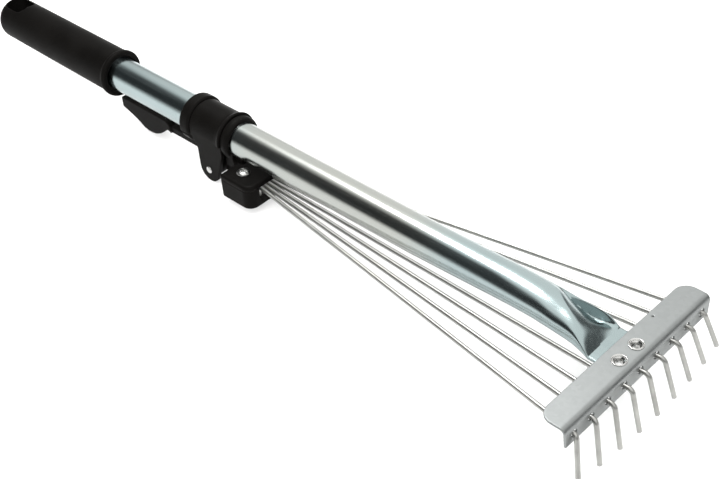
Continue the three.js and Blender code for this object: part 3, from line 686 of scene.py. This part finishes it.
def comb_plate(context):
    inner = BEND_OUTER - PLATE_SHEET
    under = PLATE_TOP - PLATE_SHEET
    section = ([(-PLATE_DEPTH, PLATE_TOP), (-PLATE_DEPTH, under)]
               + arc(-BEND_OUTER, under - inner, inner, 90, 0, 8)
               + [(-PLATE_SHEET, FLANGE_BOTTOM), (0, FLANGE_BOTTOM)]
               + arc(-BEND_OUTER, PLATE_TOP - BEND_OUTER, BEND_OUTER, 0, 90, 12))
    plate = prism("comb", section, "Y", -PLATE_HALF, PLATE_HALF)
    plan = rounded((-PLATE_DEPTH, PLATE_DEPTH), (-PLATE_HALF, PLATE_HALF), PLATE_CORNER, PLATE_CORNER)
    bend = PLATE_TOP - BEND_OUTER
    narrow = PLATE_HALF - FLANGE_TAPER
    face = [(-PLATE_HALF - 1, 1), (-PLATE_HALF, bend), (-narrow, FLANGE_BOTTOM - 1),
            (narrow, FLANGE_BOTTOM - 1), (PLATE_HALF, bend), (PLATE_HALF + 1, 1)]
    combine(plate, [prism("plan", plan, "Z", -20, 1), prism("face", face, "X", -21, 1)], "INTERSECT")
    half = TINES // 2
    holes = [turned("hole", [(-3, TINE_HOLE_R), (2, TINE_HOLE_R)], "X",
                    (0, COMB_PITCH * step, PLATE_TOP - HOLE_DROP), 32) for step in range(-half, half + 1)]
    holes += rivet_holes(-6, 0, 40)
    holes.append(turned("pilot", [(-6, PILOT_R), (0, PILOT_R)], "Z", (*PILOT, 0), 16))
    combine(plate, holes, "DIFFERENCE")
    moulded(plate, SHEET_STEP, 3)
    hand_over(plate, "frame", "comb_plate", finish_for(context, "galvanised_sheet"))


def eyelets(context):
    top, bottom = PLATE_TOP + 0.1, FLAT_BOTTOM - 0.1
    profile = [(bottom, 2.2), (bottom - 0.55, 2.8), (bottom - 0.8, 3.6), (bottom - 0.6, 4.4), (bottom, 4.8),
               (bottom, 3.5), (top, 3.5), (top, 4.8), (top + 0.25, 4.78), (top + 0.42, 4.6),
               (top + 0.45, 4.35), (top + 0.3, 4.1), (top - 0.15, 3.7), (top - 0.6, 3.2), (top - 1.0, 2.7),
               (top - 1.6, 2.3), (top - 2.4, 2.2)]
    for side, word in ((-1, "left"), (1, "right")):
        eyelet = turned("hollow_rivet_" + word, profile, "Z", (EYELET_X, side * EYELET_Y, 0), 64, looped=True)
        hand_over(eyelet, "frame", "eyelet_" + word, finish_for(context, "bright_rivet"))


# ---- tines ----

def bent(start, ahead, aside, degrees, radius, steps=12):
    turn = [math.radians(degrees * i / steps) for i in range(1, steps + 1)]
    return [start + ahead * radius * math.sin(a) + aside * radius * (1 - math.cos(a)) for a in turn]


def wire_path(sizes, step):
    root = Vector((ROOT[0], step * ROOT[1], ROOT[2]))
    hole = Vector((-PLATE_SHEET / 2, COMB_PITCH * step, PLATE_TOP - HOLE_DROP - WIRE_LOW))
    ahead = (hole - root).normalized()
    down = (Vector((0, 0, -1)) + ahead * ahead.z).normalized()
    outer = TINES // 2
    tip_down = Matrix.Rotation(sizes.toe_angle * step / outer, 3, ahead) @ down
    outward = outer * (COMB_PITCH - ROOT[1])
    reach = math.hypot(hole.x - root.x, outward, hole.z - root.z) - BEND_BEHIND - hole.x
    bend_start = root + ahead * reach
    radius = sizes.bend_radius / MM
    front = bent(bend_start, ahead, tip_down, TIP_TURN, radius)
    leave = math.radians(TIP_TURN)
    tip = front[-1] + (ahead * math.cos(leave) + tip_down * math.sin(leave)) * (sizes.tip_length / MM)
    hook_start = root + ahead * 3
    hook = bent(hook_start, -ahead, down, 90, 3, 8)
    straight = [hook_start.lerp(bend_start, i / 30) for i in range(1, 31)]
    return [hook[-1] + down * 4.5, *reversed(hook), hook_start, *straight, *front, tip]


def swept(name, path, radius, sides=24):
    """Round wire along a path, with its cut ends lightly chamfered."""
    chamfer = 0.25
    rings = []
    side = Vector((0, 1, 0))
    last = len(path) - 1
    for i, point in enumerate(path):
        along = (path[min(i + 1, last)] - path[max(i - 1, 0)]).normalized()
        side = (side - along * side.dot(along)).normalized()
        other = along.cross(side)
        circle = [side * math.cos(a) + other * math.sin(a)
                  for a in (math.tau * k / sides for k in range(sides))]
        if i == 0:
            rings.append([point + c * (radius - chamfer) for c in circle])
            rings.append([point + along * chamfer + c * radius for c in circle])
        elif i == last:
            rings.append([point - along * chamfer + c * radius for c in circle])
            rings.append([point + c * (radius - chamfer) for c in circle])
        else:
            rings.append([point + c * radius for c in circle])
    return skinned(name, rings)


def spring_tines(context):
    sizes = context.scene.rake_sizes
    for number in range(1, TINES + 1):
        path = wire_path(sizes, number - (TINES + 1) // 2)
        wire = swept(f"spring_tine_{number}", path, sizes.wire_diameter / 2 / MM)
        hand_over(wire, f"wire_{number}", f"tine_{number}", finish_for(context, "spring_wire"))


# ---- slider ----

def screw_holes(low, high):
    return [turned("hole", [(low, SCREW_HOLE_R), (high, SCREW_HOLE_R)], "Z",
                   (SCREW[0], side * SCREW[1], 0), 32) for side in (-1, 1)]


def pin_hole(name):
    return turned(name, [(-BEYOND, PIN_HOLE_R), (BEYOND, PIN_HOLE_R)], "Y", (PIN[0], 0, PIN[1]), 32)


def block_outline(inset):
    """The tine block seen from above, drawn in by inset."""
    x, y = (BLOCK_REAR + inset, BLOCK_FRONT - inset), (inset - BLOCK_HALF, BLOCK_HALF - inset)
    return rounded(x, y, 6.5, 1.2) if inset else rounded(x, y, BLOCK_CORNER, BLOCK_HEEL)


def slider_moulding(context):
    profile = [(SLEEVE_REAR, 11), (SLEEVE_REAR, RIM_R - 0.8), (SLEEVE_REAR + 0.8, RIM_R),
               (GROOVE_REAR - 1.3, RIM_R), (GROOVE_REAR, RIM_R - 1.3), (GROOVE_REAR, GROOVE_R),
               (GROOVE_FRONT, GROOVE_R), (GROOVE_FRONT, 15.6), (SLEEVE_FRONT - 3, 15.75),
               (SLEEVE_FRONT - 1, 14.9), (SLEEVE_FRONT, 13.6), (SLEEVE_FRONT, 11)]
    sleeve = turned("slider_moulding", profile, sides=128)
    plan, inner = block_outline(0), block_outline(1.2)
    levels = ((plan, PARTING), (plan, BLOCK_TOP - 1.1), (inner, BLOCK_TOP))
    cap = skinned("cap", [[(x, y, z) for x, y in shape] for shape, z in levels])
    neck = block("neck", (NECK_REAR, -318), (-NECK_HALF, NECK_HALF), (PARTING, -6))
    heel = block("heel", (NECK_REAR, BLOCK_REAR - CLEAR), (-NECK_HALF, NECK_HALF), (-26, PARTING + 1))
    web = [(BLOCK_REAR + 5, PARTING), (GROOVE_FRONT, PARTING), (GROOVE_FRONT, -4), (SLEEVE_FRONT - 0.6, -4),
           *arc(BLOCK_REAR + 6, -8.5, 6.6, 150, 250, 8), (BLOCK_REAR + 5, BLOCK_TOP - 1)]
    saddle = prism("saddle", web, "Y", -12.3, 12.3)
    combine(sleeve, [cap, neck, heel, saddle], "UNION")
    bore = turned("bore", [(SLEEVE_REAR - 1, BORE_R), (BLOCK_FRONT + 1, BORE_R)], sides=128)
    slit = block("slit", (SLEEVE_REAR - 1, -340), (-34, 34), (-5, -4))
    combine(sleeve, [bore, slit, *screw_holes(-20, -12)], "DIFFERENCE")
    moulded(sleeve, context.scene.rake_sizes.mould_step)
    hand_over(sleeve, "slider", "slider_body", finish_for(context, "black_plastic"))


def block_moulding(context):
    plan, inner = block_outline(0), block_outline(1)
    levels = ((inner, BLOCK_BOTTOM), (plan, BLOCK_BOTTOM + 1), (plan, PARTING - 0.1))
    base = skinned("block_moulding", [[(x, y, z) for x, y in shape] for shape, z in levels])
    half = TINES // 2 * ROOT[1] + 3.1
    channel = block("channel", (ROOT[0] - 2.1, BLOCK_FRONT + 1), (-half, half), (ROOT[2] - 1.8, -10))
    trench = block("trench", (ROOT[0] - 2.1, ROOT[0] + 5.1), (-half, half), (ROOT[2] - 8.1, -10))
    combine(base, [channel, trench, *screw_holes(BLOCK_BOTTOM + 2, -10)], "DIFFERENCE")
    moulded(base, context.scene.rake_sizes.mould_step)
    hand_over(base, "slider", "tine_block_base", finish_for(context, "black_plastic"))


def band_moulding(context):
    rear, front = GROOVE_REAR + CLEAR, GROOVE_FRONT - CLEAR
    inside = GROOVE_R + CLEAR
    lower = -math.sqrt(inside ** 2 - EAR_INNER ** 2)
    dip = math.degrees(math.atan2(lower, EAR_INNER))
    section = ([(EAR_OUTER, -39)] + arc(0, 0, EAR_OUTER, 0, 180, 64) + [(-EAR_OUTER, -39), (-EAR_INNER, -39)]
               + arc(0, 0, inside, 180 - dip, dip, 72) + [(EAR_INNER, -39)])
    band = prism("band_moulding", section, "X", rear, front)
    side = ([(rear, BEYOND), (rear, -3.5), (-358.6, -8.6), (-357.4, -14)] + arc(*PIN, EAR_R, 180, 326, 24)
            + [(front - 1, -11.5), (front, -8.5), (front, BEYOND)])
    combine(band, [prism("side", side, "Y", -BEYOND, BEYOND)], "INTERSECT")
    start = front - 6.5
    profile = [(start, inside + 0.2), (start, EAR_OUTER), (start + 2.6, EAR_OUTER + 0.3), (start + 4.6, 16.8),
               (start + 5.2, 17.2), (front - 0.6, 17.2), (front, 16.7), (front, inside + 0.2)]
    bead = turned("bead", profile, sides=128, looped=True)
    upper = block("upper", (start - 1, front + 1), (-BEYOND, BEYOND), (-1.5, BEYOND))
    combine(bead, [upper], "INTERSECT")
    combine(band, [bead], "UNION")
    combine(band, [pin_hole("hole")], "DIFFERENCE")
    moulded(band, context.scene.rake_sizes.mould_step * 0.8, 3)
    hand_over(band, "slider", "clamp_band", finish_for(context, "black_plastic"))


def lever_moulding(context):
    hub = turned("lever_moulding", [(CLEAR - EAR_INNER, CAM_R), (EAR_INNER - CLEAR, CAM_R)], "Y",
                 (PIN[0], 0, PIN[1] + CAM_THROW), 96)
    outline = [(PIN[0], LEVER_TOP), (-402, LEVER_TOP), (-402, LEVER_BOTTOM), (PIN[0], LEVER_BOTTOM)]
    bar = prism("bar", outline, "Y", -LEVER_HALF, LEVER_HALF)
    underside = smooth_curve([(PADDLE_REAR, LEVER_BOTTOM + 0.6, 0), (-443.4, -25.5, 0), (-436.4, -28.4, 0),
                              (-430.2, -31.7, 0), (-424, -32.7, 0), (-417, -31.7, 0), (-409.5, -27.9, 0),
                              (-404.5, -23.5, 0), (-401, -21.7, 0), (PADDLE_FRONT, -23, 0)])
    upper = [(PADDLE_FRONT, LEVER_TOP), (-399.5, -15.2), (-402, -13.9), (-407, PADDLE_TOP),
             (PADDLE_REAR + 1, PADDLE_TOP), (PADDLE_REAR, -14.6)]
    paddle = prism("paddle", upper + [(p.x, p.y) for p in underside], "Y", -PADDLE_HALF, PADDLE_HALF)
    combine(hub, [bar, paddle], "UNION")
    combine(hub, [pin_hole("bore")], "DIFFERENCE")
    moulded(hub, context.scene.rake_sizes.mould_step, 5)
    hand_over(hub, "lever", "cam_lever", finish_for(context, "black_plastic"))


# ---- pin and screws ----

def lever_pin(context):
    seat = EAR_OUTER + 0.1
    end = [(seat, 2.0), (seat, 2.7), (seat + 0.3, 2.65), (seat + 0.62, 2.3), (seat + 0.78, 1.7),
           (seat + 0.8, 1.2), (seat + 0.55, 0.9)]
    profile = [(-place, radius) for place, radius in reversed(end)] + end
    pin = turned("steel_pin", profile, "Y", (PIN[0], 0, PIN[1]), 48)
    hand_over(pin, "slider", "lever_pin", finish_for(context, "bright_rivet"))


def block_screws(context):
    head = context.scene.rake_sizes.screw_head / 2 / MM
    seat = BLOCK_TOP + 0.1
    profile = [(seat - 13, 0.6), (seat - 11.5, 2), (seat, 2), (seat, head - 0.15), (seat + 0.2, head),
               (seat + 0.9, head - 0.1), (seat + 1.4, head - 0.6), (seat + 1.85, head - 1.4),
               (seat + 2.1, head - 2.3), (seat + 2.2, head - 3.3)]
    for side, word in ((-1, "left"), (1, "right")):
        centre = (SCREW[0], side * SCREW[1])
        screw = turned("pan_screw_" + word, profile, "Z", (*centre, 0), 64)
        slots = []
        for length, width, depth, turn in ((2.7, 0.62, 1.7, 12), (2.7, 0.62, 1.7, 102), (1.9, 0.2, 0.4, 57),
                                           (1.9, 0.2, 0.4, 147)):
            a = math.radians(turn)
            corners = ((-length, -width), (length, -width), (length, width), (-length, width))
            shape = [(centre[0] + u * math.cos(a) - v * math.sin(a),
                      centre[1] + u * math.sin(a) + v * math.cos(a))
                     for u, v in corners]
            slots.append(prism("slot", shape, "Z", seat + 2.2 - depth, seat + 4))
        combine(screw, slots, "DIFFERENCE")
        edge = screw.modifiers.new("edge", "BEVEL")
        edge.width = 0.00012
        edge.segments = 2
        edge.limit_method = "ANGLE"
        edge.angle_limit = math.radians(40)
        settle(screw)
        hand_over(screw, "slider", "block_screw_" + word, finish_for(context, "bright_rivet"))


# ---- stage ----

def soft_light(name, place, target, size, power, in_gloss):
    """A round lamp. One that shows in the gloss casts no shadow, and one that doesn't casts it."""
    data = bpy.data.lights.new(name, "AREA")
    data.shape = "DISK"
    data.size = size
    data.energy = power
    data.use_shadow = not in_gloss
    lamp = bpy.data.objects.new(name, data)
    lamp.location = place
    lamp.rotation_euler = (Vector(target) - Vector(place)).to_track_quat("-Z", "Y").to_euler()
    lamp.visible_glossy = in_gloss
    bpy.context.scene.collection.objects.link(lamp)


def surround(strength):
    """A room of soft light: one half and the horizon bright, the rest dim, and dark low down at high x.

    The camera itself sees it as an even pale grey.
    """
    world = bpy.data.worlds.new("Pale room")
    bpy.context.scene.world = world
    world.use_nodes = True
    tree = world.node_tree
    back = tree.nodes["Background"]
    back.inputs["Strength"].default_value = strength
    place = tree.nodes.new("ShaderNodeTexCoord")
    parts = tree.nodes.new("ShaderNodeSeparateXYZ")
    tree.links.new(place.outputs["Generated"], parts.inputs["Vector"])

    def ramp(value, low, high, start, end):
        node = tree.nodes.new("ShaderNodeMapRange")
        node.interpolation_type = "SMOOTHSTEP"
        for label, number in (("From Min", low), ("From Max", high), ("To Min", start), ("To Max", end)):
            node.inputs[label].default_value = number
        tree.links.new(value, node.inputs["Value"])
        return node.outputs["Result"]

    bright_way = tree.nodes.new("ShaderNodeVectorMath")
    bright_way.operation = "DOT_PRODUCT"
    bright_way.inputs[1].default_value = BRIGHT_WAY
    tree.links.new(place.outputs["Generated"], bright_way.inputs[0])
    bright_half = ramp(bright_way.outputs["Value"], -0.11, 0.11, 0.0, 1.0)
    horizon = ramp(parts.outputs["Z"], 0.0, 0.2, 0.8, 0.0)
    glow = math_in(tree, "MAXIMUM", bright_half, horizon)
    ahead = ramp(parts.outputs["X"], -0.3, -0.05, 0.0, 0.92)
    near_floor = ramp(parts.outputs["Z"], 0.42, 0.6, 1.0, 0.0)
    shaded = math_in(tree, "MULTIPLY", ahead, near_floor)
    glow = math_in(tree, "MULTIPLY", glow, math_in(tree, "SUBTRACT", 1.0, shaded))
    mix = tree.nodes.new("ShaderNodeMix")
    mix.data_type = "RGBA"
    tree.links.new(glow, mix.inputs["Factor"])
    mix.inputs[MIX_A].default_value = ROOM_DIM
    mix.inputs[MIX_B].default_value = ROOM_BRIGHT
    seen = tree.nodes.new("ShaderNodeMix")
    seen.data_type = "RGBA"
    tree.links.new(tree.nodes.new("ShaderNodeLightPath").outputs["Is Camera Ray"], seen.inputs["Factor"])
    tree.links.new(mix.outputs[MIX_RESULT], seen.inputs[MIX_A])
    seen.inputs[MIX_B].default_value = BACKDROP
    tree.links.new(seen.outputs[MIX_RESULT], back.inputs["Color"])


def pale_floor(colour):
    mesh = bpy.data.meshes.new("floor")
    corners = [(x * FLOOR_HALF, y * FLOOR_HALF, 0) for x, y in ((-1, -1), (1, -1), (1, 1), (-1, 1))]
    mesh.from_pydata(corners, [], [(0, 1, 2, 3)])
    floor = bpy.data.objects.new("floor", mesh)
    bpy.context.scene.collection.objects.link(floor)
    floor.location.z = CAD_BOX[0].z - FLOOR_GAP
    material = bpy.data.materials.new("Pale floor")
    material.use_nodes = True
    shader = material.node_tree.nodes["Principled BSDF"]
    shader.inputs["Base Color"].default_value = (*colour, 1)
    shader.inputs["Roughness"].default_value = 0.9
    shader.inputs["Specular IOR Level"].default_value = 0.1
    mesh.materials.append(material)


def set_stage(context):
    stage = context.scene.rake_stage
    data = bpy.data.cameras.new("camera")
    data.lens = stage.lens
    data.sensor_width = 36
    camera = bpy.data.objects.new("camera", data)
    camera.location = AXIS + Vector(stage.camera_place)
    camera.rotation_euler = Euler(stage.camera_turn)
    context.scene.collection.objects.link(camera)
    context.scene.camera = camera
    pale_floor(stage.floor_colour)
    surround(stage.sky_strength)
    centre = (CAD_BOX[0] + CAD_BOX[1]) / 2
    soft_light("top_light", centre + Vector((-0.5, 0.25, 1.3)), centre, size=0.5, power=14, in_gloss=True)
    soft_light("fill_light", centre + Vector((0.5, -0.9, 1.4)), centre, size=2.2, power=16, in_gloss=False)
    context.scene.view_settings.view_transform = "Standard"


# ---- operators and panel ----

class PieceOperator:
    bl_options = {"REGISTER", "UNDO"}

    def execute(self, context):
        for make in self.makers:
            make(context)
        return {"FINISHED"}


def operator(idname, label, text, *makers):
    name = "RAKE_OT_" + idname
    return type(name, (PieceOperator, bpy.types.Operator), {
        "bl_idname": "rake." + idname, "bl_label": label, "__doc__": text, "makers": makers})


OPERATORS = (
    operator("stage", "Stage", "Put the floor, lights and camera in place", set_stage),
    operator("handle", "Handle Tube", "Make the zinc-plated tube with its pressed front end", steel_handle),
    operator("grip", "Grip", "Make the moulded grip with its collar and hanging hole", hand_grip),
    operator("comb", "Comb", "Make the folded comb plate", comb_plate),
    operator("eyelets", "Eyelets", "Make the two hollow rivets of the comb", eyelets),
    operator("tines", "Tines", "Make the spring wire tines", spring_tines),
    operator("slider", "Slider", "Make the sliding sleeve and the two halves of its tine block",
             slider_moulding, block_moulding),
    operator("clamp", "Clamp Band", "Make the band that closes the sleeve", band_moulding),
    operator("lever", "Cam Lever", "Make the folding cam lever", lever_moulding),
    operator("hardware", "Pin and Screws", "Make the lever's pin and the block's screws",
             lever_pin, block_screws),
)


class RAKE_PT_panel(bpy.types.Panel):
    bl_label = "Leaf Rake"
    bl_idname = "RAKE_PT_panel"
    bl_space_type = "VIEW_3D"
    bl_region_type = "UI"
    bl_category = "Leaf Rake"

    def draw(self, context):
        for kind in OPERATORS:
            self.layout.operator(kind.bl_idname)
        for group in (context.scene.rake_sizes, context.scene.rake_finishes, context.scene.rake_stage):
            box = self.layout.box()
            for label in group.__annotations__:
                box.prop(group, label)


GROUPS = {"rake_sizes": RakeSizes, "rake_finishes": RakeFinishes, "rake_stage": RakeStage}


def register():
    for kind in (*GROUPS.values(), *OPERATORS, RAKE_PT_panel):
        bpy.utils.register_class(kind)
    for label, kind in GROUPS.items():
        setattr(bpy.types.Scene, label, PointerProperty(type=kind))


def unregister():
    for label in GROUPS:
        delattr(bpy.types.Scene, label)
    for kind in reversed((*GROUPS.values(), *OPERATORS, RAKE_PT_panel)):
        bpy.utils.unregister_class(kind)


def main():
    register()
    for kind in OPERATORS:
        getattr(bpy.ops.rake, kind.bl_idname.split(".")[1])()


if __name__ == "__main__":
    main()
